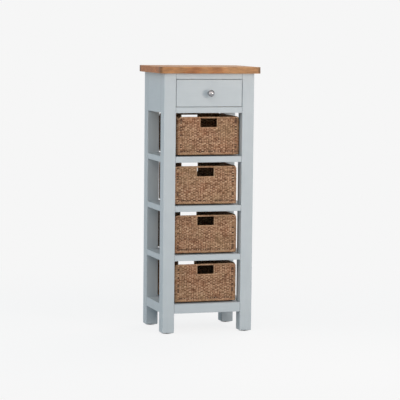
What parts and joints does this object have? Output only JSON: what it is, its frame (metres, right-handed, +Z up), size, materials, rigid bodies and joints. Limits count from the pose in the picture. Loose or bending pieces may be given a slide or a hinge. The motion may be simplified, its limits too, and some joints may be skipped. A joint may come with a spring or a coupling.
{
  "type": "tallboy",
  "caption": "Narrow painted tallboy with an oak top, an inset dovetailed drawer with a round knob, and open bays that hold pull-out woven seagrass baskets",
  "frame": {"origin": "on the floor, at the centre of the footprint with the knob included", "axes": "+X along the front, to the right as seen from the front; +Y from front to back; +Z up"},
  "size_m": [0.45, 0.355, 1.15],
  "materials": {
    "painted_wood": "pale blue-grey eggshell paint",
    "oak": "oiled oak",
    "pine": "planed bare pine",
    "seagrass": "plaited dry seagrass",
    "wire": "drawn wire, hidden in the weave",
    "satin_chrome": "satin chrome plate",
    "zinc_steel": "bright zinc plate",
    "glide_plastic": "moulded black nylon"
  },
  "bodies": {
    "cabinet": {"oak_top": "oak", "front_left_post": "painted_wood", "front_right_post": "painted_wood", "back_left_post": "painted_wood", "back_right_post": "painted_wood", "glides": "glide_plastic", "top_front_rail": "painted_wood", "drawer_front_rail": "painted_wood", "left_side_panel": "painted_wood", "right_side_panel": "painted_wood", "back_panel": "painted_wood", "left_runner": "pine", "right_runner": "pine", "left_kicker": "pine", "right_kicker": "pine", "top_screws": "zinc_steel", "drawer_stops": "pine", "shelf_1_front_rail": "painted_wood", "shelf_1_back_rail": "painted_wood", "shelf_1_left_rail": "painted_wood", "shelf_1_right_rail": "painted_wood", "shelf_1_panel": "painted_wood", "shelf_2_front_rail": "painted_wood", "shelf_2_back_rail": "painted_wood", "shelf_2_left_rail": "painted_wood", "shelf_2_right_rail": "painted_wood", "shelf_2_panel": "painted_wood", "shelf_3_front_rail": "painted_wood", "shelf_3_back_rail": "painted_wood", "shelf_3_left_rail": "painted_wood", "shelf_3_right_rail": "painted_wood", "shelf_3_panel": "painted_wood", "shelf_4_front_rail": "painted_wood", "shelf_4_back_rail": "painted_wood", "shelf_4_left_rail": "painted_wood", "shelf_4_right_rail": "painted_wood", "shelf_4_panel": "painted_wood"},
    "drawer": {"drawer_front": "painted_wood", "drawer_left_side": "pine", "drawer_right_side": "pine", "drawer_back": "pine", "drawer_bottom": "pine", "drawer_knob": "satin_chrome", "knob_screw": "zinc_steel", "drawer_catch": "pine", "catch_screw": "zinc_steel"},
    "basket_1": {"basket_1_body": "seagrass", "basket_1_rim": "seagrass", "basket_1_frame": "wire"},
    "basket_2": {"basket_2_body": "seagrass", "basket_2_rim": "seagrass", "basket_2_frame": "wire"},
    "basket_3": {"basket_3_body": "seagrass", "basket_3_rim": "seagrass", "basket_3_frame": "wire"},
    "basket_4": {"basket_4_body": "seagrass", "basket_4_rim": "seagrass", "basket_4_frame": "wire"}
  },
  "joints": [
    {"name": "drawer_slide", "type": "slide", "parent": "cabinet", "child": "drawer", "axis": [0, -1, 0], "range_m": [0, 0.2294]},
    {"name": "basket_1_slide", "type": "slide", "parent": "cabinet", "child": "basket_1", "axis": [0, -1, 0], "range_m": [0, 0.332]},
    {"name": "basket_2_slide", "type": "slide", "parent": "cabinet", "child": "basket_2", "axis": [0, -1, 0], "range_m": [0, 0.332]},
    {"name": "basket_3_slide", "type": "slide", "parent": "cabinet", "child": "basket_3", "axis": [0, -1, 0], "range_m": [0, 0.332]},
    {"name": "basket_4_slide", "type": "slide", "parent": "cabinet", "child": "basket_4", "axis": [0, -1, 0], "range_m": [0, 0.332]}
  ]
}
